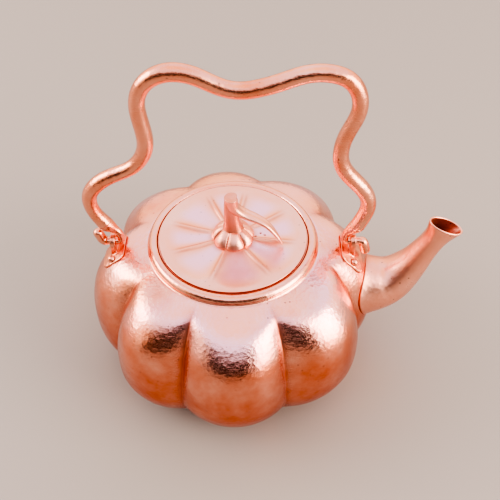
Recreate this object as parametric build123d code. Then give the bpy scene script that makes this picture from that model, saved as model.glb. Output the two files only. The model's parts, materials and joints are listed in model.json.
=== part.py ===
from build123d import *
import os
from math import cos, hypot, radians, sin, tan

# Copper kettle with a melon-lobed body, a lift-off lid and a swinging bail. Millimetres, +Z up.
# The origin is on the surface that the kettle stands on, under the body's axis.
# +X points along the spout, and the bail swings about a line parallel to X.

SHEET = 1.2                 # thickness of the raised copper sheet
VALLEY_ANGLES = [27, 74, 119, 162, 208, 248, 293.5, 343]    # creases between the eight hand-raised lobes
# body profile from the foot up: height, radius on the lobes' crests, radius in the creases
BODY_PROFILE = [(0, 52, 45.5), (4.5, 64.5, 57), (13, 76.5, 68.7), (26, 83.4, 75.2), (40, 85, 75.2),
                (53, 84.2, 72.8), (66, 80.8, 68.6), (76, 74, 63), (83.5, 64.5, 58.3), (88, 49.5, 49.5)]
BODY_TOP = BODY_PROFILE[-1][0]
FOOT_HOLE_R = 40.0          # the raised body is open here, and the base disc closes it

MOUTH_R = 42.6              # clear radius of the mouth ring
RING_CREST_R = 45.2
RING_FOOT_R = 49.0
RING_TOP = 92.4
SEAT_Z = 91.2               # the ledge on which the lid plate rests
SEAT_WALL = 1.0
SEAT_LEDGE_R = 38.6         # inner radius of the ledge
SEAT_DEPTH = 8.0

LID_R = 42.1
LID_FIT = 0.08              # radial running clearance of the skirt in the seat
SKIRT_DEPTH = 9.0
SKIRT_SHEET = 1.0
LID_THROUGH = (80, 16)      # foot and height of a cutter that passes right through the lid
LID_RIDGES = [33.5, 79, 115, 164, 201, 251, 305, 352]       # angles of the raised ridges of the lid
# dished petals between the ridges: radius, share of the gap between ridges, depth
PETAL_SECTIONS = [(10.5, 0.7, 0.4), (15, 0.8, 1.1), (22, 0.84, 1.6), (29, 0.84, 1.6), (34, 0.72, 0.9),
                  (36.5, 0.4, 0.25)]
VENT_R = 0.6
VENT_PLACES = [(10.8, -1.1), (12.8, 0.3), (15.7, 3.3), (18.1, 2.0)]     # the first passes the calyx too

KNOB_R = 12.0               # fluted calyx under the stem
HUB_R = 8.5                 # bearing of the knob on the lid
KNOB_TOP = 99.5
STEM_TOP = 121.5
# tendril: points along its middle, from inside the stem's head down to the lid, with its radius there
TENDRIL_STATIONS = [((-0.6, 0, 118.5), 3.1), ((0.9, 0, 114), 3.1), ((4, -0.1, 110.8), 3.0),
                    ((8.5, -0.7, 109), 2.8), ((13.5, -1.8, 107.4), 2.5), ((18.2, -3.2, 105.2), 2.1),
                    ((22.3, -4.9, 101.6), 1.7), ((25.6, -6.5, 97.6), 1.2), ((27.9, -8, 93.6), 0.5)]
STUD_R = 2.0                # stud that holds the knob to the lid

SWING_Z = 88.3              # height of the axis on which the bail swings
EAR_X = 68.5                # middle of each ear's plate
EAR_THICK = 3.0
EAR_R = 5.0
HOOK_R = 2.3                # wire end of the bail, passing through the ear
HOOK_FIT = 0.08
PAD_THICK = 1.4
PAD_LENGTH, PAD_WIDTH = 13.0, 22.0
RIVET_R = 1.3
RIVET_HEAD_R = 2.3
RIVET_OFFSET = 8.1          # each ear's two rivets sit this far from the XZ plane
RIVET_LIFT = 0.15           # the flat head bears on the crown of the curved pad
ROVE_R = 3.0
ROVE_THICK = 1.0

BAIL_R = 4.3
BAIL_BORE = 3.2
# corners of the bail's centreline in X and Z, from the left ear over the top to the right ear
BAIL_CORNERS = [(-71.3, 102.3), (-77, 111.2), (-78.5, 124.5), (-67.5, 136), (-50, 142.5), (-42, 156.5),
                (-46, 184.5), (-41, 196), (-30, 202), (-18.5, 200.5), (1.5, 189), (20.5, 193.5), (39, 202),
                (58.5, 198.5), (65, 181), (56, 160.5), (56, 144), (73, 125), (75.5, 114.5), (70.2, 101)]
CORNER_FULLNESS = 0.45      # share of the shorter run that each bend uses
# corners of each hook's wire after the tube's end: distance out from the YZ plane, and height
HOOK_CORNERS = {-1: [(64.6, 95.4), (62.9, SWING_Z), (75.6, SWING_Z), (77.6, SWING_Z + 6.4)],
                1: [(64.6, 95.4), (62.9, SWING_Z), (75.4, SWING_Z), (78.4, SWING_Z - 6.2)]}
HOOK_BENDS = [6, 2.3, 2.9]
TAPER_LENGTH = 6.0
PLUG_LENGTH = 5.0
RISING = (Align.CENTER, Align.CENTER, Align.MIN)            # stands on its origin and rises along Z

# spout stations: centre x and z, climb of the centreline in degrees, half height, half width
SPOUT_STATIONS = [(72, 50, 3, 19.5, 17.5), (86, 51.5, 12, 17.2, 16), (96.5, 57, 36, 13.6, 13.2),
                  (105, 69.5, 58, 9.6, 9.8), (111, 82, 65, 7.4, 7.4), (115.8, 92, 66, 7.4, 6.6),
                  (119.8, 100, 68.8, 10.6, 6.4)]
SPOUT_WALL = 1.1


def radius_at(points, z):
    """Radius at height z on a chain of (height, radius) points."""
    for (z0, r0), (z1, r1) in zip(points, points[1:]):
        if z <= z1:
            return r0 + (r1 - r0) * (z - z0) / (z1 - z0)
    return points[-1][1]


def offset_chain(points, amount):
    """Each point of an open profile moved outward along the mean normal of its neighbouring runs."""
    moved = []
    for i, (z, r) in enumerate(points):
        z0, r0 = points[max(i - 1, 0)]
        z1, r1 = points[min(i + 1, len(points) - 1)]
        dz, dr = z1 - z0, r1 - r0
        length = hypot(dz, dr)
        moved.append((z - dr / length * amount, r + dz / length * amount))
    return moved


def lobed_wire(crest, valley, z):
    """Closed outline of one arc for each lobe, from crease over crest to crease."""
    arcs = []
    for a0, a1 in zip(VALLEY_ANGLES, VALLEY_ANGLES[1:] + [VALLEY_ANGLES[0] + 360]):
        spots = [(valley, a0), (crest, (a0 + a1) / 2), (valley, a1)]
        arcs.append(ThreePointArc(*[(r * cos(radians(a)), r * sin(radians(a)), z) for r, a in spots]))
    return Wire(arcs)


def lobed_solid(grow, z_low, z_high):
    """The body's outer form moved out by grow (or in, if negative) between two heights."""
    crests = offset_chain([(z, crest) for z, crest, valley in BODY_PROFILE], grow)
    valleys = offset_chain([(z, valley) for z, crest, valley in BODY_PROFILE], grow)
    levels = [z_low] + [z for z, crest, valley in BODY_PROFILE[1:-1]] + [z_high]
    return Solid.make_loft([lobed_wire(radius_at(crests, z), radius_at(valleys, z), z) for z in levels])


def disc(radius, z, height):
    return Pos(0, 0, z) * Cylinder(radius, height, align=RISING)


def turned(*points):
    """Solid of revolution about the kettle's axis from a polygon of (radius, height) points."""
    return revolve(Plane.XZ * make_face(Polyline(*points, close=True)), Axis.Z)


def spout_solid(inset):
    """Loft through the spout's oval stations, each made smaller by inset."""
    sections = []
    for x, z, climb, half_high, half_wide in SPOUT_STATIONS:
        along = (cos(radians(climb)), 0, sin(radians(climb)))
        plane = Plane(origin=(x, 0, z), x_dir=(0, 1, 0), z_dir=along)
        sections.append(plane * Ellipse(half_wide - inset, half_high - inset))
    return loft(sections)


def body_shell(outer, inner, passage):
    shell = outer - inner - disc(MOUTH_R, BODY_TOP - 5, 10) - disc(FOOT_HOLE_R, -1, 5)
    return shell - passage


def base_disc():
    """Bottom, let into the foot flush with it."""
    return disc(FOOT_HOLE_R, 0, SHEET)


def mouth_ring():
    """Half-round bead on a short concave foot, around the neck."""
    profile = make_face([
        Line((MOUTH_R, BODY_TOP), (MOUTH_R, RING_TOP - 1.4)),
        ThreePointArc((MOUTH_R, RING_TOP - 1.4), (MOUTH_R + 0.8, RING_TOP - 0.35), (RING_CREST_R, RING_TOP)),
        ThreePointArc((RING_CREST_R, RING_TOP), (RING_CREST_R + 2, RING_TOP - 0.8), (48, BODY_TOP + 1.2)),
        ThreePointArc((48, BODY_TOP + 1.2), (48.3, BODY_TOP + 0.35), (RING_FOOT_R, BODY_TOP)),
        Line((RING_FOOT_R, BODY_TOP), (MOUTH_R, BODY_TOP))])
    return revolve(Plane.XZ * profile, Axis.Z)


def lid_seat():
    """Collar inside the ring, with a ledge turned inward for the lid plate."""
    inner = MOUTH_R - SEAT_WALL
    return turned((MOUTH_R, SEAT_Z - SEAT_DEPTH), (MOUTH_R, SEAT_Z), (SEAT_LEDGE_R, SEAT_Z),
                  (SEAT_LEDGE_R, SEAT_Z - SEAT_WALL), (inner, SEAT_Z - SEAT_WALL),
                  (inner, SEAT_Z - SEAT_DEPTH))


def outer_point(outer, x, y):
    """Point and outward normal where a vertical line through x and y meets the top of the body."""
    hits = outer.find_intersection_points(Axis((x, y, 150), (0, 0, -1)))
    point, normal = max(hits, key=lambda hit: hit[0].Z)
    return point, normal if normal.Z > 0 else -normal


def ear(side, outer, grown):
    """Upright eye plate on a saddle pad that follows the shoulder."""
    pad_plan = Pos(side * EAR_X, 0, 60) * extrude(RectangleRounded(PAD_LENGTH, PAD_WIDTH, 4), 40)
    pad = grown & pad_plan
    plate_face = Circle(EAR_R) + Pos(0, -EAR_R) * Rectangle(2 * EAR_R, 2 * EAR_R)
    plane = Plane(origin=(side * EAR_X - EAR_THICK / 2, 0, SWING_Z), x_dir=(0, 1, 0), z_dir=(1, 0, 0))
    plate = extrude(plane * plate_face, EAR_THICK)
    eye = extrude(plane * Circle(HOOK_R + HOOK_FIT), EAR_THICK)
    return (pad + plate) - outer - eye


def rivets_and_roves(outer):
    """Four domed rivets with their inner washers, set square to the shoulder, and their holes."""
    rivets, roves, holes = [], [], []
    depth = PAD_THICK + RIVET_LIFT + SHEET + ROVE_THICK + 0.35
    for side in (-1, 1):
        for across in (-1, 1):
            point, normal = outer_point(outer, side * EAR_X, across * RIVET_OFFSET)
            seat = Plane(origin=point + normal * (PAD_THICK + RIVET_LIFT), z_dir=normal)
            shank = seat * Pos(0, 0, -depth) * Cylinder(RIVET_R, depth, align=RISING)
            head = seat * (Sphere(RIVET_HEAD_R) & Cylinder(RIVET_HEAD_R, RIVET_HEAD_R, align=RISING))
            tail = seat * Pos(0, 0, -depth - 0.9) * Cone(1.6, 2.1, 0.9, align=RISING)
            ring = Cylinder(ROVE_R, ROVE_THICK, align=RISING) - Cylinder(RIVET_R, 3 * ROVE_THICK)
            rivets.append(head + shank + tail)
            roves.append(seat * Pos(0, 0, -depth) * ring)
            holes.append(shank)
    return rivets, roves, holes


def bail_path():
    """Straight runs joined by tangent bends, each as full as its two runs allow."""
    corners = [Vector(x, 0, z) for x, z in BAIL_CORNERS]
    radii = []
    for before, corner, after in zip(corners, corners[1:], corners[2:]):
        run = min((corner - before).length, (after - corner).length)
        turn = (corner - before).get_angle(after - corner)
        radii.append(CORNER_FULLNESS * run / tan(radians(turn / 2)))
    return FilletPolyline(*corners, radius=radii)


def bail_tube(path):
    section = Plane(origin=path @ 0, z_dir=path % 0) * (Circle(BAIL_R) - Circle(BAIL_BORE))
    return sweep(section, path=path)


def hook(side, path):
    """Solid end of the bail: a plug in the tube, a taper, and wire bent out through the ear."""
    end = path @ (0 if side < 0 else 1)
    down = -(path % 0) if side < 0 else path % 1
    route = [end] + [Vector(side * x, 0, z) for x, z in HOOK_CORNERS[side]]
    wire_path = FilletPolyline(*route, radius=HOOK_BENDS)
    ahead = wire_path % 0
    wire = sweep(Plane(origin=end, z_dir=ahead) * Circle(HOOK_R), path=wire_path)
    taper = loft([Plane(origin=end, z_dir=down) * Circle(BAIL_R),
                  Plane(origin=end + ahead * TAPER_LENGTH, z_dir=ahead) * Circle(HOOK_R + 0.2)])
    plug = Plane(origin=end, z_dir=-down) * Cylinder(BAIL_BORE, PLUG_LENGTH, align=RISING)
    return plug + taper + wire + Pos(*route[-1]) * Sphere(HOOK_R)


def petal_hollow(middle, width, extra):
    """Loft of shallow arc segments from hub to margin, sunk by extra below the dished surface."""
    sections = []
    for r, share, depth in PETAL_SECTIONS:
        half = r * sin(radians(width / 2)) * share
        low = RING_TOP - depth - extra
        outline = [Line((-half, RING_TOP), (half, RING_TOP)),
                   ThreePointArc((half, RING_TOP), (0, low), (-half, RING_TOP))]
        sections.append(Plane(origin=(r, 0, 0), x_dir=(0, 1, 0), z_dir=(1, 0, 0)) * make_face(outline))
    return Rot(0, 0, middle) * loft(sections)


def vents():
    """Pin holes that let the steam out beside the knob."""
    return [Pos(x, y) * disc(VENT_R, *LID_THROUGH) for x, y in VENT_PLACES]


def lid_plate():
    """Embossed disc: a dished petal of even thickness between each two ridges, and a level margin."""
    plate = disc(LID_R, SEAT_Z, SHEET)
    next_ridges = LID_RIDGES[1:] + [LID_RIDGES[0] + 360]
    petals = [((a0 + a1) / 2, a1 - a0) for a0, a1 in zip(LID_RIDGES, next_ridges)]
    for middle, width in petals:
        plate += petal_hollow(middle, width, SHEET)
    for middle, width in petals:
        plate -= petal_hollow(middle, width, 0)
    return plate - disc(STUD_R, *LID_THROUGH) - vents()


def lid_skirt():
    outer = SEAT_LEDGE_R - LID_FIT
    inner, low = outer - SKIRT_SHEET, SEAT_Z - SKIRT_DEPTH
    return turned((outer, low), (outer, SEAT_Z), (inner, SEAT_Z), (inner, low))


def knob_calyx():
    """Low dome with eight flutes."""
    profile = make_face([
        Line((0, RING_TOP), (HUB_R, RING_TOP)),
        Line((HUB_R, RING_TOP), (KNOB_R, RING_TOP + 0.2)),
        Line((KNOB_R, RING_TOP + 0.2), (KNOB_R, RING_TOP + 1.0)),
        ThreePointArc((KNOB_R, RING_TOP + 1.0), (KNOB_R - 3, RING_TOP + 4.6), (4.5, KNOB_TOP)),
        Line((4.5, KNOB_TOP), (0, KNOB_TOP)), Line((0, KNOB_TOP), (0, RING_TOP))])
    dome = revolve(Plane.XZ * profile, Axis.Z)
    for ridge in LID_RIDGES:
        flute = Rot(0, 0, ridge) * Pos(KNOB_R + 1.6, 0, RING_TOP + 4) * Rot(0, -38, 0) * Cylinder(2.6, 30)
        dome -= flute
    return dome - disc(STUD_R, *LID_THROUGH) - vents()


def knob_stem():
    """Cut pumpkin stem: a waist under a flared, slanting top."""
    stations = [(KNOB_TOP, 0, 5.5, 4.9), (104, -0.4, 4.3, 3.7), (111, -0.8, 3.7, 3.1), (117, -0.7, 3.8, 3.2),
                (STEM_TOP, -0.3, 4.3, 3.8)]
    return loft([Pos(x, 0, z) * Ellipse(rx, ry) for z, x, rx, ry in stations])


def knob_tendril(stem):
    """Tapering tendril that leaves the stem and curls down to the lid."""
    spine = Spline(*[place for place, radius in TENDRIL_STATIONS])
    sections = []
    for place, radius in TENDRIL_STATIONS:
        ahead = spine % spine.param_at_point(place)
        aside = ahead.cross(Vector(0, 1, 0))
        sections.append(Plane(origin=place, x_dir=aside, z_dir=ahead) * Circle(radius))
    return loft(sections) - stem


def knob_stud():
    """Stud from the calyx through the lid, peened over its washer."""
    low = RING_TOP - SHEET - 1.2
    return disc(STUD_R, low, KNOB_TOP - 4 - low) + Pos(0, 0, low - 1.2) * Cone(2.4, 3.2, 1.2, align=RISING)


def knob_washer():
    return disc(6, RING_TOP - SHEET - 1.2, 1.2) - disc(STUD_R, *LID_THROUGH)


os.makedirs("parts", exist_ok=True)
body_outer = lobed_solid(0, 0, BODY_TOP)
body_inner = lobed_solid(-SHEET, SHEET, BODY_TOP - SHEET)
pad_outer = lobed_solid(PAD_THICK, 0, BODY_TOP)
passage = spout_solid(SPOUT_WALL)
rivets, roves, holes = rivets_and_roves(body_outer)
shell = body_shell(body_outer, body_inner, passage)
ears = {side: ear(side, body_outer, pad_outer) for side in (-1, 1)}
for hole in holes:
    shell -= hole
    ears = {side: piece - hole for side, piece in ears.items()}
bail = bail_path()
stem = knob_stem()

nodes = {
    "body_shell": shell,
    "base_disc": base_disc(),
    "mouth_ring": mouth_ring(),
    "lid_seat": lid_seat(),
    "spout": spout_solid(0) - passage - body_outer,
    "left_ear": ears[-1],
    "right_ear": ears[1],
    "ear_rivets": Compound(rivets),
    "rivet_roves": Compound([rove - shell for rove in roves]),
    "bail_tube": bail_tube(bail),
    "left_hook": hook(-1, bail),
    "right_hook": hook(1, bail),
    "lid_plate": lid_plate(),
    "lid_skirt": lid_skirt(),
    "knob_calyx": knob_calyx(),
    "knob_stem": stem,
    "knob_tendril": knob_tendril(stem),
    "knob_stud": knob_stud(),
    "knob_washer": knob_washer(),
}
for name, piece in nodes.items():
    export_step(piece, f"parts/{name}.step")
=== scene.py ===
import bpy
import json
import math
import numpy as np
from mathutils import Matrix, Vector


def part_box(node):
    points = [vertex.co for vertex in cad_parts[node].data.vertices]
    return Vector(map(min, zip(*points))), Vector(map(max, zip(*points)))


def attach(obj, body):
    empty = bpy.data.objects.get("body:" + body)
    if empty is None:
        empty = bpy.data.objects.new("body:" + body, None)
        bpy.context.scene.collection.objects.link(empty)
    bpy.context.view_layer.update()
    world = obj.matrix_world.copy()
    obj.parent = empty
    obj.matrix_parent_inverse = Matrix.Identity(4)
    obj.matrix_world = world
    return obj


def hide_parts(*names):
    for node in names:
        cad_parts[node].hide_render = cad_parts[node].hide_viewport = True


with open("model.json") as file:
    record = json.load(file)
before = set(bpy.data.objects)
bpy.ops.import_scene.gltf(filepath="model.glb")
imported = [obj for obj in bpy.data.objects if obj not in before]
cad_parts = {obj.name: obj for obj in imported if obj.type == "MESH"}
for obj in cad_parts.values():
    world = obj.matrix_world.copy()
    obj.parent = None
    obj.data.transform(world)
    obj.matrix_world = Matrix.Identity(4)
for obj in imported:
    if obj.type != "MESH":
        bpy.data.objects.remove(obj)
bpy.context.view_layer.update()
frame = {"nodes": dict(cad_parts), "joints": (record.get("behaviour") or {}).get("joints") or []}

mm = 0.001
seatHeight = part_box("mouth_ring")[0].z / mm      # the neck's flat, where the mouth ring stands
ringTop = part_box("mouth_ring")[1].z / mm
swingHeight = next(j for j in frame["joints"] if j["name"] == "bail_swing")["pos_m"][2] / mm


def throughPoints(points, count):
    # cubic through every point, its slope at each being half the gap between the two neighbours
    p = np.asarray(points, float).reshape(len(points), -1)
    t = np.linspace(0, len(p) - 1, count)
    i = np.minimum(t.astype(int), len(p) - 2)
    u = (t - i)[:, None]
    ext = np.vstack([2 * p[0] - p[1], p, 2 * p[-1] - p[-2]])
    a, b, c, d = ext[i], ext[i + 1], ext[i + 2], ext[i + 3]
    square, cube = 2 * a - 5 * b + 4 * c - d, 3 * b - a - 3 * c + d
    return 0.5 * (2 * b + (c - a) * u + square * u ** 2 + cube * u ** 3)


def evenly(path, count):
    # the same line with its points spaced evenly along its length
    run = np.r_[0, np.cumsum(np.linalg.norm(np.diff(path, axis=0), axis=1))]
    s = np.linspace(0, run[-1], count)
    return np.column_stack([np.interp(s, run, path[:, k]) for k in range(path.shape[1])])


def softened(path, width):
    # each point becomes the weighted mean of its neighbours within width samples, the ends held
    k = np.arange(-3 * width, 3 * width + 1)
    w = np.exp(-0.5 * (k / width) ** 2)
    w /= w.sum()
    head = 2 * path[0] - path[1:3 * width + 1][::-1]
    tail = 2 * path[-1] - path[-3 * width - 1:-1][::-1]
    longer = np.vstack([head, path, tail])
    return np.column_stack([np.convolve(longer[:, c], w, "valid") for c in range(path.shape[1])])


def bentPath(corners, bends, perBend=24):
    # straight runs joined by tangent circular arcs; bends holds each inner corner's radius
    c = np.asarray(corners, float)
    out = [c[0]]
    for before, corner, after, radius in zip(c, c[1:], c[2:], bends):
        u = (before - corner) / np.linalg.norm(before - corner)
        v = (after - corner) / np.linalg.norm(after - corner)
        half = (math.pi - math.acos(np.clip(u @ v, -1, 1))) / 2
        reach = radius * math.tan(half)
        s = np.linspace(0, 1, perBend)[:, None]
        middle = corner + (u + v) / np.linalg.norm(u + v) * radius / math.cos(half)
        a, b = corner + u * reach - middle, corner + v * reach - middle
        out += list(middle + (np.sin((1 - s) * 2 * half) * a + np.sin(s * 2 * half) * b) / math.sin(2 * half))
    return np.array(out + [c[-1]])


def fullBends(corners, fullness):
    # the radius that uses the given share of each corner's shorter run
    c = np.asarray(corners, float)
    back, on = c[:-2] - c[1:-1], c[2:] - c[1:-1]
    shorter = np.minimum(np.linalg.norm(back, axis=1), np.linalg.norm(on, axis=1))
    cosine = (back * on).sum(1) / np.linalg.norm(back, axis=1) / np.linalg.norm(on, axis=1)
    return fullness * shorter / np.tan((math.pi - np.arccos(cosine)) / 2)


def makePiece(name, grid, body, node, along=False, caps=(False, False), masks=None):
    # closed rings of points in millimetres become quads; along joins the last ring to the first, and a cap is
    # a fan from an end ring to its own middle; the whole is turned outwards by the sign of its volume
    rows, cols = grid.shape[:2]
    verts = grid.reshape(-1, 3) * mm
    r = np.arange(rows if along else rows - 1)[:, None]
    c = np.arange(cols)[None, :]
    r1, c1 = (r + 1) % rows, (c + 1) % cols
    quads = np.stack([r * cols + c, r * cols + c1, r1 * cols + c1, r1 * cols + c], -1).reshape(-1, 4)
    fans = []
    ring = np.arange(cols)
    for wanted, row, turn in ((caps[0], 0, 1), (caps[1], rows - 1, -1)):
        if wanted:
            pole = len(verts)
            verts = np.vstack([verts, verts[row * cols:(row + 1) * cols].mean(0)])
            fan = np.column_stack([np.full(cols, pole), row * cols + np.roll(ring, -1), row * cols + ring])
            fans.append(fan[:, ::turn])
    tris = np.vstack(fans) if fans else np.zeros((0, 3), int)
    corners = np.vstack([quads[:, [0, 1, 2]], quads[:, [0, 2, 3]], tris])
    a, b, d = verts[corners[:, 0]], verts[corners[:, 1]], verts[corners[:, 2]]
    if (a * np.cross(b, d)).sum() < 0:
        quads, tris = quads[:, ::-1], tris[:, ::-1]
    piece = bpy.data.objects.new(name, fillMesh(name, verts, quads, tris, masks or {}))
    bpy.context.scene.collection.objects.link(piece)
    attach(piece, body)
    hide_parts(node)
    print("made", name, len(quads), "quads")
    return piece


def fillMesh(name, verts, quads, tris, masks):
    # points, quads and triangles go in as whole arrays; each mask is one number for every point
    mesh = bpy.data.meshes.new(name)
    mesh.vertices.add(len(verts))
    mesh.vertices.foreach_set("co", np.ascontiguousarray(verts, np.float32).ravel())
    loops = np.concatenate([quads.ravel(), tris.ravel()]).astype(np.int32)
    mesh.loops.add(len(loops))
    mesh.loops.foreach_set("vertex_index", loops)
    counts = np.r_[np.full(len(quads), 4), np.full(len(tris), 3)]
    mesh.polygons.add(len(counts))
    mesh.polygons.foreach_set("loop_start", np.r_[0, np.cumsum(counts)[:-1]].astype(np.int32))
    mesh.update(calc_edges=True)
    mesh.polygons.foreach_set("use_smooth", np.ones(len(counts), bool))
    for label, values in masks.items():
        full = np.zeros(len(verts), np.float32)
        full[:values.size] = values.ravel()
        mesh.attributes.new(label, "FLOAT", "POINT").data.foreach_set("value", full)
    mesh.validate()
    return mesh


def tube(path, wide, deep, count):
    # rings of an ellipse along a path: point plus deep times cosine square to Y, plus wide times sine along Y
    ahead = np.gradient(path, axis=0)
    ahead /= np.linalg.norm(ahead, axis=1)[:, None]
    across = np.cross(ahead, (0.0, 1.0, 0.0))
    across /= np.linalg.norm(across, axis=1)[:, None]
    beside = np.cross(across, ahead)
    a = np.linspace(0, 2 * math.pi, count, endpoint=False)[None, :, None]
    return (path[:, None] + across[:, None] * np.cos(a) * deep[:, None, None]
            + beside[:, None] * np.sin(a) * wide[:, None, None])


def roundedEnd(path, radii, steps=10):
    # the last ring is carried on as a half ball: radius times cosine, pushed ahead by radius times sine
    ahead = (path[-1] - path[-2]) / np.linalg.norm(path[-1] - path[-2])
    a = np.linspace(0, math.pi / 2, steps + 1)[1:]
    more = path[-1] + ahead * radii[-1] * np.sin(a)[:, None]
    return np.vstack([path, more]), np.r_[radii, np.maximum(radii[-1] * np.cos(a), 0.02)]


def turnedProfile(profile, count):
    # a closed outline of (radius, height) carried round the kettle's axis
    a = np.linspace(0, 2 * math.pi, count, endpoint=False)[None, :]
    r, z = profile[:, :1], profile[:, 1:]
    return np.stack([r * np.cos(a), r * np.sin(a), z + 0 * a], -1)


def uneven(points, size, seed):
    # slow unevenness of handwork: six plane waves of random direction, about size millimetres long
    rng = np.random.default_rng(seed)
    waves = rng.normal(size=(6, 3))
    waves *= 2 * math.pi / size / np.linalg.norm(waves, axis=1)[:, None] * rng.uniform(0.6, 1.5, (6, 1))
    return np.sin(points @ waves.T + rng.uniform(0, 6.3, 6)).mean(-1)


def planished(turns, along, cellsRound, seed):
    # hammer blows: squared distance to the nearest of the scattered centres, in cells, so each blow is a
    # shallow dish that meets its neighbours in soft ridges; turns is 0 to 1 round, along counts cells
    rng = np.random.default_rng(seed)
    shifts = rng.uniform(0.12, 0.88, (64, cellsRound, 2))
    u, v = turns * cellsRound, along + 8
    iu, iv = np.floor(u).astype(int), np.floor(v).astype(int)
    nearest = np.full(np.broadcast(u, v).shape, 9.0)
    for du, dv in [(a, b) for a in (-1, 0, 1) for b in (-1, 0, 1)]:
        centre = shifts[(iv + dv) % 64, (iu + du) % cellsRound]
        gap = (iu + du + centre[..., 0] - u) ** 2 + (iv + dv + centre[..., 1] - v) ** 2
        nearest = np.minimum(nearest, gap)
    return nearest


def newGroup(name, inputs, outputs):
    # an empty node group with its named sockets, and the two nodes that stand for them
    group = bpy.data.node_groups.new(name, "ShaderNodeTree")
    for label, kind, value in inputs:
        socket = group.interface.new_socket(name=label, in_out="INPUT", socket_type="NodeSocket" + kind)
        if value is not None:
            socket.default_value = value
    for label, kind in outputs:
        group.interface.new_socket(name=label, in_out="OUTPUT", socket_type="NodeSocket" + kind)
    nodes = group.nodes
    return group, nodes, nodes.new("NodeGroupInput"), nodes.new("NodeGroupOutput")


def mathNode(tree, how, a, b=None, c=None, clamp=False):
    # one Math node; each of a, b and c is a number or the socket that feeds it
    node = tree.nodes.new("ShaderNodeMath")
    node.operation, node.use_clamp = how, clamp
    for socket, value in zip(node.inputs, (a, b, c)):
        if isinstance(value, (int, float)):
            socket.default_value = value
        elif value is not None:
            tree.links.new(value, socket)
    return node.outputs[0]


def buildHammerGroup():
    # planishing marks: soft cells, each a shallow dish, with a little noise so that no two are alike
    group, nodes, given, out = newGroup(
        "hammerMarks", [("Vector", "Vector", None), ("Scale", "Float", 180.0), ("Wobble", "Float", 0.25)],
        [("Height", "Float")])
    cells = nodes.new("ShaderNodeTexVoronoi")
    cells.feature = "SMOOTH_F1"
    cells.inputs["Smoothness"].default_value = 0.35
    group.links.new(given.outputs["Vector"], cells.inputs["Vector"])
    group.links.new(given.outputs["Scale"], cells.inputs["Scale"])
    dish = mathNode(group, "MULTIPLY", cells.outputs["Distance"], cells.outputs["Distance"])
    rough = nodes.new("ShaderNodeTexNoise")
    group.links.new(given.outputs["Vector"], rough.inputs["Vector"])
    group.links.new(given.outputs["Scale"], rough.inputs["Scale"])
    height = mathNode(group, "MULTIPLY_ADD", rough.outputs["Fac"], given.outputs["Wobble"], dish)
    group.links.new(height, out.inputs["Height"])
    return group


def buildScratchGroup():
    # polishing scratches: noise drawn out along two crossing directions, kept where it is strongest
    group, nodes, given, out = newGroup(
        "fineScratches", [("Vector", "Vector", None), ("Scale", "Float", 1.0)], [("Mask", "Float")])
    lines = []
    for turn, stretch in (((0.3, 0.5, 0.4), (3000, 120, 3000)), ((1.1, -0.4, 1.9), (120, 2600, 2600))):
        place = nodes.new("ShaderNodeMapping")
        place.inputs["Rotation"].default_value = turn
        place.inputs["Scale"].default_value = stretch
        group.links.new(given.outputs["Vector"], place.inputs["Vector"])
        grain = nodes.new("ShaderNodeTexNoise")
        grain.inputs["Detail"].default_value = 2.0
        group.links.new(place.outputs["Vector"], grain.inputs["Vector"])
        group.links.new(given.outputs["Scale"], grain.inputs["Scale"])
        lines.append(mathNode(group, "SUBTRACT", grain.outputs["Fac"], 0.5))
    both = mathNode(group, "MAXIMUM", lines[0], lines[1])
    group.links.new(mathNode(group, "MULTIPLY", both, 4.0, clamp=True), out.inputs["Mask"])
    return group


def buildTarnishAndPaintedShadeGroup():
    # handling marks: broad clouds and small specks, and painted shade: darkening where the piece's shade mask
    # says it lies in shade
    group, nodes, given, out = newGroup(
        "tarnishAndPaintedShade", [("Vector", "Vector", None), ("Painted Shade Mask", "Float", 0.0), ("Cloud Size", "Float", 45.0),
                    ("Speck Size", "Float", 420.0)],
        [("Clouds", "Float"), ("Specks", "Float"), ("Painted Shade", "Float")])
    cloud = nodes.new("ShaderNodeTexNoise")
    cloud.inputs["Detail"].default_value = 5.0
    cloud.inputs["Roughness"].default_value = 0.62
    group.links.new(given.outputs["Vector"], cloud.inputs["Vector"])
    group.links.new(given.outputs["Cloud Size"], cloud.inputs["Scale"])
    clouds = mathNode(group, "MULTIPLY_ADD", cloud.outputs["Fac"], 2.6, -0.85, clamp=True)
    group.links.new(clouds, out.inputs["Clouds"])
    speck = nodes.new("ShaderNodeTexVoronoi")
    group.links.new(given.outputs["Vector"], speck.inputs["Vector"])
    group.links.new(given.outputs["Speck Size"], speck.inputs["Scale"])
    pick = nodes.new("ShaderNodeSeparateColor")
    group.links.new(speck.outputs["Color"], pick.inputs["Color"])
    few = mathNode(group, "GREATER_THAN", pick.outputs["Red"], 0.93)      # one cell in fourteen has a speck
    small = mathNode(group, "MULTIPLY_ADD", speck.outputs["Distance"], -6.0, 1.6, clamp=True)
    group.links.new(mathNode(group, "MULTIPLY", few, small), out.inputs["Specks"])
    edge = mathNode(group, "MULTIPLY_ADD", cloud.outputs["Fac"], 0.6, 0.55)
    paintedShadeAmount = mathNode(group, "MULTIPLY", given.outputs["Painted Shade Mask"], edge, clamp=True)
    group.links.new(paintedShadeAmount, out.inputs["Painted Shade"])
    return group


groups = {"hammer": buildHammerGroup(), "scratch": buildScratchGroup(), "tarnishAndPaintedShade": buildTarnishAndPaintedShadeGroup()}


def placeGroup(tree, group, **values):
    # a shared group placed in a material, each named input a number or a socket
    node = tree.nodes.new("ShaderNodeGroup")
    node.node_tree = group
    for label, value in values.items():
        socket = node.inputs[label]
        if isinstance(value, (int, float)):
            socket.default_value = value
        else:
            tree.links.new(value, socket)
    return node.outputs


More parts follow.
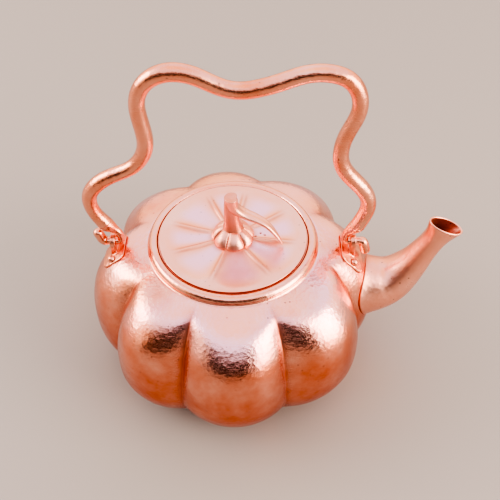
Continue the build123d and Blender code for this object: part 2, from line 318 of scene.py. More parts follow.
def mixColor(tree, mask, a, b):
    # colour a where the mask is 0 and b where it is 1
    node = tree.nodes.new("ShaderNodeMix")
    node.data_type = "RGBA"
    tree.links.new(mask, node.inputs["Factor"])
    for socket, value in ((node.inputs["A"], a), (node.inputs["B"], b)):
        if isinstance(value, tuple):
            socket.default_value = (*value, 1)
        else:
            tree.links.new(value, socket)
    return node.outputs["Result"]


def copper(name, bright, deep, paintedShadeColor, polish, marks, markScale, scratch, specks=0.7, masks=False, red=None,
           tint=None):
    # polished copper: clouded between bright and deep, painted shade where the mesh's shade mask says, specks,
    # hammer marks and scratches as height; red is (colour, height below which it starts, metres over which it
    # grows): a painted reflection, the lower body painted deep red as a dark warm floor would reflect there;
    # tint is a painted reflection of a cool sky, laid where the mesh's sky mask says
    material = bpy.data.materials.new(name)
    material.use_nodes = True
    tree = material.node_tree
    shader = tree.nodes["Principled BSDF"]
    shader.inputs["Metallic"].default_value = 1.0
    where = tree.nodes.new("ShaderNodeTexCoord").outputs["Object"]
    tarnishAndShadeInputs = {"Vector": where}
    if masks:
        held = tree.nodes.new("ShaderNodeAttribute")
        held.attribute_name = "paintedShadeMask"
        tarnishAndShadeInputs["Painted Shade Mask"] = held.outputs["Fac"]
    wornAndShaded = placeGroup(tree, groups["tarnishAndPaintedShade"], **tarnishAndShadeInputs)
    color = mixColor(tree, wornAndShaded["Clouds"], bright, deep)
    hammered = placeGroup(tree, groups["hammer"], Vector=where, Scale=markScale)["Height"]
    # painted reflection: below a ragged height the colour turns deep red, as a dark warm floor would reflect on
    # the lower body
    if red:
        split = tree.nodes.new("ShaderNodeSeparateXYZ")
        tree.links.new(where, split.inputs[0])
        ragged = mathNode(tree, "MULTIPLY_ADD", wornAndShaded["Clouds"], red[2] * 0.7, red[1])
        below = mathNode(tree, "SUBTRACT", ragged, split.outputs["Z"])
        low = mathNode(tree, "MULTIPLY", below, 1 / red[2], clamp=True)
        color = mixColor(tree, low, color, red[0])
    # painted reflection: a cool sky's tint laid where the mesh's sky mask says
    if tint:
        paintedSkyMask = tree.nodes.new("ShaderNodeAttribute")
        paintedSkyMask.attribute_name = "paintedSkyMask"
        color = mixColor(tree, paintedSkyMask.outputs["Fac"], color, tint)
    # painted shade: the colour darkened towards the painted shade colour where the shade mask says
    color = mixColor(tree, wornAndShaded["Painted Shade"], color, paintedShadeColor)
    color = mixColor(tree, mathNode(tree, "MULTIPLY", wornAndShaded["Specks"], specks), color, toneSet["speck"])
    tree.links.new(color, shader.inputs["Base Color"])
    lines = placeGroup(tree, groups["scratch"], Vector=where)["Mask"]
    rough = mathNode(tree, "MULTIPLY_ADD", wornAndShaded["Clouds"], polish * 0.4, polish)
    rough = mathNode(tree, "MULTIPLY_ADD", lines, 0.08, rough)
    rough = mathNode(tree, "MULTIPLY_ADD", wornAndShaded["Painted Shade"], 0.2, rough, clamp=True)
    tree.links.new(rough, shader.inputs["Roughness"])
    bump = tree.nodes.new("ShaderNodeBump")
    bump.inputs["Strength"].default_value = marks
    bump.inputs["Distance"].default_value = 0.0006
    tree.links.new(hammered, bump.inputs["Height"])
    fine = tree.nodes.new("ShaderNodeBump")
    fine.inputs["Strength"].default_value = scratch
    fine.inputs["Distance"].default_value = 0.00003
    tree.links.new(lines, fine.inputs["Height"])
    tree.links.new(bump.outputs["Normal"], fine.inputs["Normal"])
    tree.links.new(fine.outputs["Normal"], shader.inputs["Normal"])
    return material


# the third tone is the painted shade colour; the last entry is a painted reflection of a dark warm floor on the
# lower body
toneSet = {"bright": (0.95, 0.46, 0.33), "deep": (0.90, 0.37, 0.24), "paintedShadeColor": (0.42, 0.08, 0.03),
           "speck": (0.16, 0.07, 0.05), "paintedFloorReflection": ((0.62, 0.135, 0.048), 0.072, 0.062)}
sheetTones = toneSet["bright"], toneSet["deep"], toneSet["paintedShadeColor"]

# after the three tones: polish, marks, markScale and scratch
# the body's tint is a painted reflection of a cool sky on its upper shoulders
bodyCopper = copper("planishedCopper", *sheetTones, 0.15, 0.19, 480, 0.9, masks=True, red=toneSet["paintedFloorReflection"],
                    tint=(0.93, 0.50, 0.50))
ringCopper = copper("turnedCopper", *sheetTones, 0.16, 0.14, 400, 0.6, masks=True)
# the lid's tint is a painted reflection of a cool sky in its petals
lidCopper = copper("embossedCopper", (0.96, 0.49, 0.34), (0.93, 0.42, 0.27), toneSet["paintedShadeColor"],
                   0.26, 0.06, 240, 0.5, specks=0.4, masks=True, tint=(0.93, 0.50, 0.53))
spoutCopper = copper("spoutCopper", *sheetTones, 0.27, 0.16, 420, 0.7, masks=True)
knobCopper = copper("knobCopper", (0.95, 0.48, 0.36), (0.90, 0.36, 0.22), (0.50, 0.09, 0.03),
                    0.29, 0.10, 300, 0.5, specks=0.3, masks=True)
rodCopper = copper("drawnCopper", (0.95, 0.45, 0.31), (0.84, 0.29, 0.16), (0.40, 0.10, 0.05),
                   0.18, 0.22, 340, 0.7)
forgedCopper = copper("forgedCopper", (0.92, 0.40, 0.27), (0.80, 0.27, 0.15), (0.35, 0.10, 0.05),
                      0.24, 0.4, 360, 0.7)
plainCopper = copper("plainCopper", (0.88, 0.36, 0.24), (0.76, 0.26, 0.16), (0.35, 0.10, 0.05),
                     0.30, 0.15, 200, 0.8)
print("made the coppers")


def finishWith(piece, material):
    # the piece wears this one material
    piece.data.materials.clear()
    piece.data.materials.append(material)


bodySet = {
    "creases": [27, 74, 119, 162, 208, 248, 293.5, 343],     # degrees from +X; uneven, as raised by hand
    # height, radius on the crests, radius in the creases
    "profile": [(0, 51.4, 45.2), (1.2, 56.5, 49.8), (4.5, 64.4, 57), (13, 76.4, 68.6), (26, 83.3, 75.1),
                (40, 84.9, 75.1), (53, 84.1, 72.7), (66, 80.7, 68.5), (76, 73.9, 63), (83.5, 64.4, 58.2),
                (88, 49.5, 49.5)],
    "neckBend": 46.5, "neckWidth": 6.2, "footHole": 40.2, "sheet": 1.2, "creaseWidth": 0.9,
    "waviness": 0.22, "waveLength": 34, "blowSize": 7.5, "blowDepth": 0.05,
    # the tint values lay a painted reflection of a cool sky over the upper body, from a height and over a rise;
    # the crease value sets how far the painted shade reaches from each crease
    "paintedSkyStrength": 0.85, "paintedSkyFrom": 68, "paintedSkyGrow": 12, "creaseShadeReach": 2.2,
    "columnsPerLobe": 55, "rows": 134}


def lobedRadius(angle, crest, crease):
    # every lobe is the arc of a circle through crease, crest and crease; a crease of width w is rounded by
    # adding slope times (root of distance squared plus w squared, less distance)
    cuts = np.radians(bodySet["creases"])
    lower = np.r_[cuts[-1] - 2 * math.pi, cuts]
    upper = np.r_[cuts, cuts[0] + 2 * math.pi]
    turned = np.mod(angle, 2 * math.pi)
    i = np.searchsorted(cuts, turned, side="right")
    half = ((upper - lower) / 2)[i]
    aside = turned - ((upper + lower) / 2)[i]
    centre = (crest ** 2 - crease ** 2) / np.maximum(2 * (crest - crease * np.cos(half)), 1e-6)
    centre = np.where(crest - crease < 0.02, 0, centre)
    own = crest - centre
    radius = centre * np.cos(aside) + np.sqrt(own ** 2 - (centre * np.sin(aside)) ** 2)
    reach = np.sqrt(own ** 2 - (centre * np.sin(half)) ** 2)
    slope = centre * np.sin(half) * (1 + centre * np.cos(half) / reach) / crease
    gap = crease * (half - np.abs(aside))
    return radius + slope * (np.hypot(gap, bodySet["creaseWidth"]) - gap), gap


def bodyRadiusAt(angle, height):
    # the outer surface's radius at any angle and height
    z, crest, crease = outerProfile.T
    return lobedRadius(angle, np.interp(height, z, crest), np.interp(height, z, crease))[0]


def movedInward(line, amount):
    # an open (height, radius) line moved square to itself
    run = np.gradient(line, axis=0)
    run /= np.linalg.norm(run, axis=1)[:, None]
    return line + np.column_stack([run[:, 1], -run[:, 0]]) * amount


outerProfile = evenly(throughPoints(bodySet["profile"], 600), bodySet["rows"])


def buildBody():
    # one closed (height, radius) line, up the outside, in along the neck and down the inside, is carried round
    # as two lines, crest and crease, and each column takes its radius from lobedRadius between them
    crest, crease = outerProfile[:, [0, 1]], outerProfile[:, [0, 2]]
    inCrest = movedInward(crest, bodySet["sheet"])[::-2]
    inCrease = movedInward(crease, bodySet["sheet"])[::-2]
    mouth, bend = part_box("mouth_ring")[1].x / mm - bodySet["neckWidth"], bodySet["neckBend"]
    under = seatHeight - bodySet["sheet"]
    neck = np.array([(seatHeight, bend), (seatHeight, mouth), (under, mouth), (under, bend)])
    foot = np.array([(bodySet["sheet"], 47), (bodySet["sheet"], bodySet["footHole"]),
                     (0, bodySet["footHole"]), (0, 42.5)])
    crestLine = np.vstack([crest, neck, inCrest, foot])
    creaseLine = np.vstack([crease, neck, inCrease, foot])
    s = np.linspace(-1, 1, bodySet["columnsPerLobe"], endpoint=False)
    cuts = np.radians(np.r_[bodySet["creases"], bodySet["creases"][0] + 360])
    gather = 0.55 * s + 0.45 * np.sin(math.pi * s / 2)           # columns crowd towards the creases
    angle = np.concatenate([(a + b) / 2 + (b - a) / 2 * gather for a, b in zip(cuts, cuts[1:])])[None, :]
    big, small = crestLine[:, 1:], creaseLine[:, 1:]
    r, gap = lobedRadius(angle, big, small)
    share = np.clip((r - small) / np.maximum(big - small, 0.1), 0, 1)
    z = creaseLine[:, :1] + share * (crestLine[:, :1] - creaseLine[:, :1])
    grid = np.stack([r * np.cos(angle), r * np.sin(angle), z], -1)
    depth = np.clip((big - small) / 8, 0, 1)
    calm = np.clip(z / 12, 0, 1) * np.clip((seatHeight - z) / 7, 0, 1)
    run = np.r_[0, np.cumsum(np.linalg.norm(np.diff(crestLine, axis=0), axis=1))][:, None]
    girth = 500                                                  # round the middle of the body
    around = angle / (2 * math.pi) % 1
    blows = planished(around, run / bodySet["blowSize"], round(girth / bodySet["blowSize"]), 5)
    swell = bodySet["waviness"] * np.abs(uneven(grid, bodySet["waveLength"], 3))
    swell = swell + bodySet["blowDepth"] * (1 - np.clip(blows * 2, 0, 1))
    grid[..., :2] *= (1 - swell * calm / r)[..., None]
    # painted shade: darkened along each crease, more where the crease is deeper
    paintedShadeMask = np.exp(-gap / bodySet["creaseShadeReach"]) * depth
    # painted reflection: a cool sky's tint laid patchily over the body above a height
    high = np.clip((z - bodySet["paintedSkyFrom"]) / bodySet["paintedSkyGrow"], 0, 1)
    paintedSkyMask = bodySet["paintedSkyStrength"] * high * np.clip(0.55 + 1.6 * uneven(grid, 45, 9), 0, 1)
    piece = makePiece("bodyShell", grid, "root", "body_shell", along=True,
                      masks={"paintedShadeMask": paintedShadeMask, "paintedSkyMask": paintedSkyMask})
    finishWith(piece, bodyCopper)


buildBody()


ringSet = {"inner": 42.6, "crest": 45.2, "flank": 48.0, "foot": 49.0, "waviness": 0.08,
           "rows": 64, "columns": 400}


def buildRing():
    # half-round bead: a lip curving up from the inner edge, over the crest and down to a short concave foot
    top, inner, crest, flank = ringTop, ringSet["inner"], ringSet["crest"], ringSet["flank"]
    line = [(inner, seatHeight), (inner, seatHeight + 1.6), (inner + 0.1, top - 1.3), (inner + 0.9, top - 0.35),
            (crest - 0.8, top - 0.03), (crest, top), (crest + 1.1, top - 0.25), (crest + 2.1, top - 1.1),
            (flank, top - 2.4), (flank + 0.15, top - 3.3), (flank + 0.4, top - 4.0),
            (ringSet["foot"], seatHeight - 0.1)]
    grid = turnedProfile(evenly(throughPoints(line, 400), ringSet["rows"]), ringSet["columns"])
    risen = np.clip((grid[..., 2] - seatHeight) / 3, 0, 1)
    grid[..., 2] -= ringSet["waviness"] * np.abs(uneven(grid, 40, 11)) * risen
    # painted shade: darkened along the ring's inner edge, beside the lid
    inside = np.clip((inner + 0.5 - np.hypot(grid[..., 0], grid[..., 1])) / 0.4, 0, 1)
    piece = makePiece("mouthRing", grid, "root", "mouth_ring", along=True,
                      masks={"paintedShadeMask": inside})
    finishWith(piece, ringCopper)


buildRing()


spoutSet = {
    # middle x and z, climb in degrees, half height, half width
    "stations": [(72, 50, 3, 19.5, 17.5), (86, 51.5, 12, 17.2, 16), (96.5, 57, 36, 13.6, 13.2),
                 (105, 69.5, 58, 9.6, 9.8), (111, 82, 65, 7.4, 7.4), (115.8, 92, 66, 7.4, 6.6),
                 (119.8, 100, 68.8, 10.6, 6.4)],
    # the root and inside darkenings below are painted shade, where the spout meets the body and down the tube's
    # inside
    "wall": 1.1, "lip": 0.55, "rootSink": 0.5, "flare": 1.2, "flareReach": 3.0, "rootShade": 0.5,
    "insideShade": 0.75, "rows": 110, "columns": 96}


def spoutPoint(t, angle, inset):
    # point at t from root (0) to mouth (1) and angle round the oval, the oval made smaller by inset
    line = throughPoints(spoutSet["stations"], 700)
    at = np.linspace(0, 1, len(line))
    x, z, climb, high, wide = (np.interp(t, at, line[:, k]) for k in range(5))
    climb = np.radians(climb)
    up, out = (high - inset) * np.cos(angle), (wide - inset) * np.sin(angle)
    return np.stack([x - up * np.sin(climb), out, z + up * np.cos(climb)], -1)


def buildSpout():
    # each column starts where its own line leaves the body and runs to the mouth; the root flares by flare
    # times the exponential of minus the distance from it over flareReach
    angle = np.linspace(0, 2 * math.pi, spoutSet["columns"], endpoint=False)
    low, high = np.zeros_like(angle), np.full_like(angle, 0.6)
    for _ in range(24):                                  # halve towards where each line leaves the body
        t = (low + high) / 2
        p = spoutPoint(t, angle, 0)
        wall = bodyRadiusAt(np.arctan2(p[:, 1], p[:, 0]), p[:, 2])
        sunk = np.hypot(p[:, 0], p[:, 1]) < wall - spoutSet["rootSink"]
        low, high = np.where(sunk, t, low), np.where(sunk, high, t)
    v = np.linspace(0, 1, spoutSet["rows"])[:, None]
    t = low + (1 - low) * v
    outer = spoutPoint(t, angle[None, :], 0)
    away = np.linalg.norm(outer - outer[:1], axis=-1)
    swell = spoutSet["flare"] * np.exp(-away / spoutSet["flareReach"])
    outer = spoutPoint(t, angle[None, :], -swell)
    inner = spoutPoint(t, angle[None, :], spoutSet["wall"])
    over = np.linspace(0, math.pi, 9)[1:-1, None, None]  # rolled lip: half circle from outer to inner edge
    ahead = outer[-1] - outer[-4]
    ahead /= np.linalg.norm(ahead, axis=1)[:, None]
    centre, arm = (outer[-1] + inner[-1]) / 2, (outer[-1] - inner[-1]) / 2
    lip = centre + arm * np.cos(over) + ahead * np.sin(over) * spoutSet["lip"]
    grid = np.concatenate([outer[:-1], lip, inner[::-1]])
    paintedShadeMask = np.zeros(grid.shape[:2])
    # painted shade: darkened where the spout meets the body, and all down its inside
    paintedShadeMask[:len(outer) - 1] = spoutSet["rootShade"] * np.exp(-away[:-1] / 1.6)
    paintedShadeMask[len(outer) - 1 + len(lip):] = spoutSet["insideShade"]
    piece = makePiece("spoutTube", grid, "root", "spout", along=True,
                      masks={"paintedShadeMask": paintedShadeMask})
    finishWith(piece, spoutCopper)


buildSpout()


bailSet = {
    # corners of the rod's middle line in x and z, from the left ear over the top to the right ear
    "corners": [(-71.3, 102.3), (-77, 111.2), (-78.5, 124.5), (-67.5, 136), (-50, 142.5), (-42, 156.5),
                (-46, 184.5), (-41, 196), (-30, 202), (-18.5, 200.5), (1.5, 189), (20.5, 193.5), (39, 202),
                (58.5, 198.5), (65, 181), (56, 160.5), (56, 144), (73, 125), (75.5, 114.5), (70.2, 101)],
    "fullness": 0.45, "soften": 6, "rows": 460, "columns": 40,
    # the rod's half thickness along its length, thinner where it was drawn and fuller inside the bends
    "thickness": [4.15, 3.85, 4.1, 4.25, 4.0, 3.95, 4.2, 4.3, 4.2, 4.1, 4.3, 4.55, 4.45, 4.3, 4.25, 4.3, 4.3,
                  4.3, 4.3, 4.2, 4.1, 4.05, 4.1, 4.2, 4.45, 4.5, 4.35, 4.3, 4.15],
    "endThickness": 4.3, "endRows": 12, "oval": 1.01}
hookSet = {
    "left": [(-64.6, 95.4), (-62.9, swingHeight), (-74.3, swingHeight), (-76.2, swingHeight + 6.2)],
    "right": [(64.6, 95.4), (62.9, swingHeight), (74.4, swingHeight), (76.4, swingHeight - 7.0)],
    "bends": [6, 2.3, 3.7], "neck": 4.28, "wire": 2.2, "taper": 9.0, "tail": 2.9, "tailFrom": 9.0,
    "tailGrow": 2.6, "waviness": 0.05, "rows": 140, "columns": 36}


def inPlane(points):
    # x and z pairs as points in the plane of the bail
    p = np.asarray(points, float)
    return np.column_stack([p[:, 0], np.zeros(len(p)), p[:, 1]])


def smoothStep(t):
    # three t squared less two t cubed, held between 0 and 1
    t = np.clip(t, 0, 1)
    return t * t * (3 - 2 * t)


def buildBail():
    # straight runs and arcs through the corners, softened, with the rod's own thickness carried along
    corners = inPlane(bailSet["corners"])
    path = evenly(bentPath(corners, fullBends(corners, bailSet["fullness"])), bailSet["rows"])
    path = softened(path, bailSet["soften"])
    thick = throughPoints([(t,) for t in bailSet["thickness"]], bailSet["rows"])[:, 0]
    last, end = bailSet["endRows"], bailSet["endThickness"]
    thick[:last] = np.linspace(end, thick[last], last)
    thick[-last:] = np.linspace(thick[-last - 1], end, last)
    grid = tube(path, thick * bailSet["oval"], thick, bailSet["columns"])
    piece = makePiece("bailRod", grid, "bail", "bail_tube", caps=(True, True))
    finishWith(piece, rodCopper)
    return path


def buildHook(name, node, corners, start):
    # a wire along runs and arcs: it tapers from the rod's end to the ear, and is fatter again past the ear
    corners = np.vstack([start, inPlane(corners)])
    path = evenly(bentPath(corners, hookSet["bends"]), hookSet["rows"])
    run = np.r_[0, np.cumsum(np.linalg.norm(np.diff(path, axis=0), axis=1))]
    radii = hookSet["neck"] + (hookSet["wire"] - hookSet["neck"]) * smoothStep(run / hookSet["taper"])
    beyond = smoothStep((run - run[-1] + hookSet["tailFrom"]) / hookSet["tailGrow"])
    radii += (hookSet["tail"] - hookSet["wire"]) * beyond
    path, radii = roundedEnd(path, radii)
    grid = tube(path, radii, radii, hookSet["columns"])
    grid += hookSet["waviness"] * uneven(grid, 6, 17)[..., None]
    piece = makePiece(name, grid, "bail", node, caps=(True, True))
    finishWith(piece, rodCopper)


rodPath = buildBail()
buildHook("leftHook", "left_hook", hookSet["left"], rodPath[0])
buildHook("rightHook", "right_hook", hookSet["right"], rodPath[-1])


lidSet = {"radius": 42.1, "sheet": 1.2, "edge": 0.35, "waviness": 0.06,
          "ridges": [33.5, 79, 115, 164, 201, 251, 305, 352], "ridgeWidth": 0.75, "depth": 1.8,
          "petalStart": 7.0, "petalEnd": 39.6, "petalRounding": 4.5,
          # pin holes that let out the steam: x and y, then their radius and depth
          "vents": [(10.8, -1.1), (12.8, 0.3), (15.7, 3.3), (18.1, 2.0)], "ventSize": 0.66, "ventDepth": 1.1,
          # the flank and knob darkenings below are painted shade, beside each ridge and round the knob's foot
          "flankShade": 0.45, "knobShade": 0.4, "knobFoot": 12.2, "columns": 432}


def ridgeDistance(radius, angle):
    # distance from the nearest ridge line, and the share of the way across: 0 mid petal, 1 on the ridge
    ridges = np.radians(lidSet["ridges"])
    off = np.abs((angle[..., None] - ridges + math.pi) % (2 * math.pi) - math.pi)
    near, second = np.moveaxis(np.sort(off, -1)[..., :2], -1, 0)
    return radius * np.sin(np.minimum(near, math.pi / 2)), 1 - 2 * near / (near + second)


def lidHeight(radius, angle):
    # each petal is dished as one minus the cube of the share across, so the ridges stand as soft creases,
    # rounded within ridgeWidth; along the radius the dish is a long sine hump
    aside, across = ridgeDistance(radius, angle)
    end = lidSet["petalEnd"] - lidSet["petalRounding"] * across ** 2
    t = np.clip((radius - lidSet["petalStart"]) / (end - lidSet["petalStart"]), 0, 1)
    reach = np.sin(math.pi * t) ** 1.15
    return -lidSet["depth"] * reach * (1 - across ** 3) * (1 - np.exp(-(aside / lidSet["ridgeWidth"]) ** 2))


def buildLid():
    # rings of ringTop plus lidHeight out to a rounded rim, then back along the same heights less the sheet; a
    # pit's depth is ventDepth times the share by which a point is nearer than ventSize to its middle
    level = lidSet["radius"] - lidSet["edge"]
    r = np.r_[np.linspace(0.2, 9.6, 10), np.arange(9.8, 19.2, 0.16), np.linspace(19.4, level, 60)][:, None]
    angle = np.linspace(0, 2 * math.pi, lidSet["columns"], endpoint=False)[None, :]
    top = ringTop + lidHeight(r, angle + 0 * r)
    flat = np.stack([r * np.cos(angle), r * np.sin(angle), 0 * top], -1)
    top -= lidSet["waviness"] * np.abs(uneven(flat, 16, 21))
    pits = np.zeros_like(top)
    for x, y in lidSet["vents"]:
        away = np.hypot(r * np.cos(angle) - x, r * np.sin(angle) - y)
        pits = np.maximum(pits, np.clip((lidSet["ventSize"] - away) / 0.14, 0, 1))
    top -= lidSet["ventDepth"] * pits
    bend = np.linspace(0, math.pi / 2, 5)[1:, None]
    rim = np.concatenate([np.stack([level + lidSet["edge"] * np.sin(bend),
                                    ringTop - lidSet["edge"] * (1 - np.cos(bend))], -1),
                          np.array([[[lidSet["radius"], ringTop - lidSet["sheet"]]]])])
    rim = np.broadcast_to(rim, (len(rim), lidSet["columns"], 2))
    upper = np.stack([r + 0 * angle, top], -1)
    smooth = np.stack([r + 0 * angle, ringTop + lidHeight(r, angle + 0 * r)], -1)
    under = smooth[::-2] - (0, lidSet["sheet"])
    rz = np.concatenate([upper, rim, under])
    grid = np.stack([rz[..., 0] * np.cos(angle), rz[..., 0] * np.sin(angle), rz[..., 1]], -1)
    aside, across = ridgeDistance(r, angle + 0 * r)
    inPetal = np.clip((r - 10) / 5, 0, 1) * np.clip((37 - r) / 6, 0, 1)
    # painted shade along one flank of each ridge
    flank = lidSet["flankShade"] * np.exp(-((aside - 1.3) / 0.8) ** 2) * inPetal
    paintedShadeMask = np.zeros(rz.shape[:2])
    # painted shade round the knob's foot
    ringed = lidSet["knobShade"] * np.exp(-((r - lidSet["knobFoot"]) / 1.8) ** 2)
    # painted shade in the vent pits, beside the ridges and round the knob
    paintedShadeMask[:len(r)] = np.maximum(np.maximum(1.6 * pits, flank), ringed)
    # painted shade: the rim's edge darkened as a dark gap line beside the ring
    paintedShadeMask[len(r) + 2:len(r) + len(rim)] = 1.2
    # painted reflection: the middle of each petal tinted as a cool sky would show there
    petal = np.zeros_like(paintedShadeMask)
    petal[:len(r)] = np.clip(1.15 - 1.8 * across ** 2, 0, 1) * inPetal
    piece = makePiece("lidPlate", grid, "lid", "lid_plate", caps=(True, True),
                      masks={"paintedShadeMask": paintedShadeMask, "paintedSkyMask": petal})
    finishWith(piece, lidCopper)


buildLid()


knobSet = {"radius": 12.2, "top": 99.8, "fold": 1.5, "pinch": 0.12, "rows": 60, "columns": 320,
           # stalk: height, shift in x, half width in x, half width in y
           "stem": [(98.3, 0.2, 6.4, 5.8), (100.5, 0.1, 5.2, 4.7), (104, -0.3, 4.5, 4.0),
                    (110, -0.7, 4.0, 3.5), (116, -0.7, 3.9, 3.3), (119.8, -0.6, 3.6, 3.0)],
           "squareness": 2.6,
           # tendril from the stalk's cut head down to the lid: place, half width, half depth
           "tendril": [((-0.4, 0, 121.6), 4.2, 4.0), ((-0.3, 0, 118.8), 4.1, 3.9), ((1.0, 0, 114.9), 4.1, 3.3),
                       ((4.2, -0.1, 111.5), 4.1, 2.6), ((8.5, -0.7, 109.3), 3.9, 2.1),
                       ((13.5, -1.8, 107.5), 3.6, 1.9), ((18.2, -3.2, 105.2), 3.1, 1.7),
                       ((22.3, -4.9, 101.5), 2.5, 1.5), ((25.6, -6.5, 97.3), 1.7, 1.1),
                       ((27.9, -8.0, 93.3), 0.5, 0.45)],
           "channel": 0.34, "waviness": {"calyx": 0.12, "stem": 0.1, "tendril": 0.08}}


def buildCalyx():
    # puckered bud: height falls from the stalk to the rim, and each lid ridge gathers it in a rounded fold
    line = throughPoints([(4.5, knobSet["top"]), (6.6, knobSet["top"] - 0.5), (9.2, knobSet["top"] - 2.3),
                          (11.2, knobSet["top"] - 4.6), (knobSet["radius"], ringTop + 0.6)], knobSet["rows"])
    r, z = line[:, :1], line[:, 1:]
    angle = np.linspace(0, 2 * math.pi, knobSet["columns"], endpoint=False)[None, :]
    across = ridgeDistance(r, angle + 0 * r)[1]
    fold = (1 - np.sqrt(np.clip(1 - across ** 2, 0, 1) + 0.01)) * np.clip((r - 3.5) / 5, 0, 1)
    rr = r * (1 - knobSet["pinch"] * fold)
    zz = np.maximum(z - knobSet["fold"] * fold * np.clip((z - ringTop) / 3, 0, 1), ringTop + 0.3)
    grid = np.stack([rr * np.cos(angle), rr * np.sin(angle), zz], -1)
    grid += knobSet["waviness"]["calyx"] * uneven(grid, 7, 8)[..., None] * np.array([0.6, 0.6, 0.8])
    foot = grid[-1:] * (0.97, 0.97, 0) + (0, 0, ringTop - 1.9)
    # painted shade: darkened in each fold, and on the foot below the lid's face
    piece = makePiece("knobCalyx", np.concatenate([grid, foot]), "lid", "knob_calyx",
                      caps=(True, True), masks={"paintedShadeMask": np.concatenate([0.55 * fold, 0 * fold[:1] + 0.8])})
    finishWith(piece, knobCopper)


def buildStem():
    # flat-sided stalk: each ring is a superellipse, |x/a|^p + |y/b|^p = 1 with p = squareness
    line = throughPoints(knobSet["stem"], 70)
    z, shift, wide, deep = (line[:, k:k + 1] for k in range(4))
    a = np.linspace(0, 2 * math.pi, 96, endpoint=False)[None, :]
    p = 2 / knobSet["squareness"]
    x = wide * np.sign(np.cos(a)) * np.abs(np.cos(a)) ** p
    y = deep * np.sign(np.sin(a)) * np.abs(np.sin(a)) ** p
    grid = np.stack([shift + x, y, z + 0 * a], -1)
    grid[..., :2] += knobSet["waviness"]["stem"] * uneven(grid, 9, 14)[..., None]
    # painted shade: the stalk darkened all over, most at its foot
    paintedShadeMask = 0.35 + 0.4 * np.exp(-(z - knobSet["stem"][0][0]) / 2) + 0 * a
    piece = makePiece("knobStem", grid, "lid", "knob_stem", caps=(True, True),
                      masks={"paintedShadeMask": paintedShadeMask})
    finishWith(piece, knobCopper)


def buildTendril():
    # curling horn with a shallow channel along its upper side; the head is cut square and slightly dished
    stations = [(*place, wide, deep) for place, wide, deep in knobSet["tendril"]]
    line = evenly(throughPoints(stations, 600), 150)
    a = np.linspace(0, 2 * math.pi, 56, endpoint=False)
    middle = line[:, None, :3]
    grid = tube(line[:, :3], line[:, 3], line[:, 4], len(a)) - middle
    aside = (a + math.pi) % (2 * math.pi) - math.pi
    dent = knobSet["channel"] * np.exp(-(aside / 0.55) ** 2)
    grid = middle + grid * (1 - dent)[None, :, None]
    grid += knobSet["waviness"]["tendril"] * uneven(grid, 8, 31)[..., None]
    head = grid[:1]
    centre = head.mean(1, keepdims=True)
    cut = np.concatenate([centre + (head - centre) * k + (0, 0, h) for k, h in
                          ((0.1, -0.5), (0.4, -0.4), (0.7, -0.1), (0.88, 0.12), (0.96, 0.1))])
    grid = np.concatenate([cut, grid])
    # painted shade: the tendril's underside darkened, and the cut head's dish
    under = np.clip(-np.cos(a), 0, 1) ** 3 * 0.45
    paintedShadeMask = np.broadcast_to(under, grid.shape[:2]).copy()
    paintedShadeMask[:5] = 0.35
    piece = makePiece("knobTendril", grid, "lid", "knob_tendril", caps=(True, True),
                      masks={"paintedShadeMask": paintedShadeMask})
    finishWith(piece, knobCopper)


buildCalyx()
buildStem()
buildTendril()


earSet = {"voxel": 0.32, "relax": 0.5, "relaxTimes": 9}


def buildForgedEar(name, node):
    # the ear's own shape worn soft: remeshed in cubes of voxel millimetres and its corners relaxed
    mesh = frame["nodes"][node].data.copy()
    mesh.name = name
    ear = bpy.data.objects.new(name, mesh)
    bpy.context.scene.collection.objects.link(ear)
    remesh = ear.modifiers.new("remesh", "REMESH")
    remesh.mode, remesh.voxel_size, remesh.use_smooth_shade = "VOXEL", earSet["voxel"] * mm, True
    relax = ear.modifiers.new("relax", "SMOOTH")
    relax.factor, relax.iterations = earSet["relax"], earSet["relaxTimes"]
    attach(ear, "root")
    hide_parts(node)
    finishWith(ear, forgedCopper)
    print("made", name)


buildForgedEar("leftEar", "left_ear")
buildForgedEar("rightEar", "right_ear")

for node in ("ear_rivets", "rivet_roves", "knob_stud", "knob_washer"):
    finishWith(frame["nodes"][node], forgedCopper)
for node in ("base_disc", "lid_seat", "lid_skirt"):
    finishWith(frame["nodes"][node], plainCopper)
print("finished the plain fittings")


studioSet = {"floorHalf": 6.0, "floorColor": (0.34, 0.285, 0.23), "skyCool": (0.84, 0.85, 1.08),
             "skyWarm": (0.95, 0.74, 0.56), "skyLow": (0.030, 0.020, 0.017), "skyStrength": 1.75,
             "aimedAt": (0, 0, 0.06),
             # name, place, size, power, colour
             "lights": [("rightBox", (1.05, -0.50, 0.42), (0.85, 0.9), 17.0, (1.0, 0.97, 0.93)),
                        ("leftBox", (-1.05, 0.10, 0.60), (0.7, 0.6), 7.0, (0.96, 0.97, 1.0))]}


def buildFloor():
    # one plain square, floorHalf each way from the middle
    s = studioSet["floorHalf"]
    mesh = bpy.data.meshes.new("floor")
    mesh.from_pydata([(-s, -s, 0), (s, -s, 0), (s, s, 0), (-s, s, 0)], [], [(0, 1, 2, 3)])
    floor = bpy.data.objects.new("floor", mesh)
    bpy.context.scene.collection.objects.link(floor)
    material = bpy.data.materials.new("paleFloor")
    material.use_nodes = True
    shader = material.node_tree.nodes["Principled BSDF"]
    shader.inputs["Base Color"].default_value = (*studioSet["floorColor"], 1)
    shader.inputs["Roughness"].default_value = 0.55
    mesh.materials.append(material)


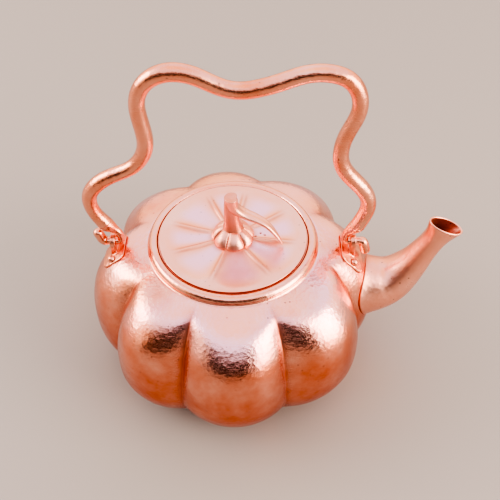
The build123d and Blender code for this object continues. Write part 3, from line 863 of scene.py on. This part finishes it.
def buildSky():
    # soft dome, cool in a band half way up and warm below and above it; it is dark below the horizon and low
    # in front, as a room is behind a viewer
    world = bpy.data.worlds.new("studio")
    bpy.context.scene.world = world
    world.use_nodes = True
    tree = world.node_tree
    where = tree.nodes.new("ShaderNodeTexCoord").outputs["Generated"]
    split = tree.nodes.new("ShaderNodeSeparateXYZ")
    tree.links.new(where, split.inputs[0])
    y, z = split.outputs["Y"], split.outputs["Z"]
    up = mathNode(tree, "MULTIPLY_ADD", z, 5.0, 0.45, clamp=True)
    toward = mathNode(tree, "MULTIPLY_ADD", y, -5.0, -2.2, clamp=True)
    under = mathNode(tree, "MULTIPLY_ADD", z, -8.0, 4.9, clamp=True)
    dark = mathNode(tree, "MULTIPLY", toward, under)
    lit = mathNode(tree, "MULTIPLY", up, mathNode(tree, "SUBTRACT", 1.0, dark))
    offBand = mathNode(tree, "ABSOLUTE", mathNode(tree, "SUBTRACT", z, 0.74))
    cool = mathNode(tree, "MULTIPLY_ADD", offBand, -6.0, 1.5, clamp=True)
    color = mixColor(tree, cool, studioSet["skyWarm"], studioSet["skyCool"])
    color = mixColor(tree, lit, studioSet["skyLow"], color)
    tree.links.new(color, tree.nodes["Background"].inputs["Color"])
    tree.nodes["Background"].inputs["Strength"].default_value = studioSet["skyStrength"]


def aim(thing, place, target):
    # the thing's own minus Z is turned from its place towards the target
    away = np.array(place) - np.array(target)
    flat = math.hypot(away[0], away[1])
    thing.location = place
    thing.rotation_euler = (math.atan2(flat, away[2]), 0, math.atan2(away[0], -away[1]))


def buildLights():
    # two soft boxes, both aimed at the kettle
    for name, place, size, power, color in studioSet["lights"]:
        data = bpy.data.lights.new(name, "AREA")
        data.shape = "RECTANGLE"
        data.size, data.size_y, data.energy, data.color = size[0], size[1], power, color
        lamp = bpy.data.objects.new(name, data)
        bpy.context.scene.collection.objects.link(lamp)
        aim(lamp, place, studioSet["aimedAt"])


cameraSet = {"target": (0.0097, 0.0, 0.0803), "distance": 0.440, "elevation": 46.84, "lens": 54.57}


def buildCamera():
    # distance away from the target, in front by its cosine and above by its sine of the elevation
    data = bpy.data.cameras.new("camera")
    data.lens, data.sensor_width = cameraSet["lens"], 36
    camera = bpy.data.objects.new("camera", data)
    bpy.context.scene.collection.objects.link(camera)
    climb = math.radians(cameraSet["elevation"])
    x, y, z = cameraSet["target"]
    place = (x, y - cameraSet["distance"] * math.cos(climb), z + cameraSet["distance"] * math.sin(climb))
    aim(camera, place, cameraSet["target"])
    bpy.context.scene.camera = camera


buildFloor()
buildSky()
buildLights()
buildCamera()
bpy.context.scene.view_settings.view_transform = "AgX"
bpy.context.scene.view_settings.look = "AgX - High Contrast"
bpy.context.scene.view_settings.exposure = 0.03
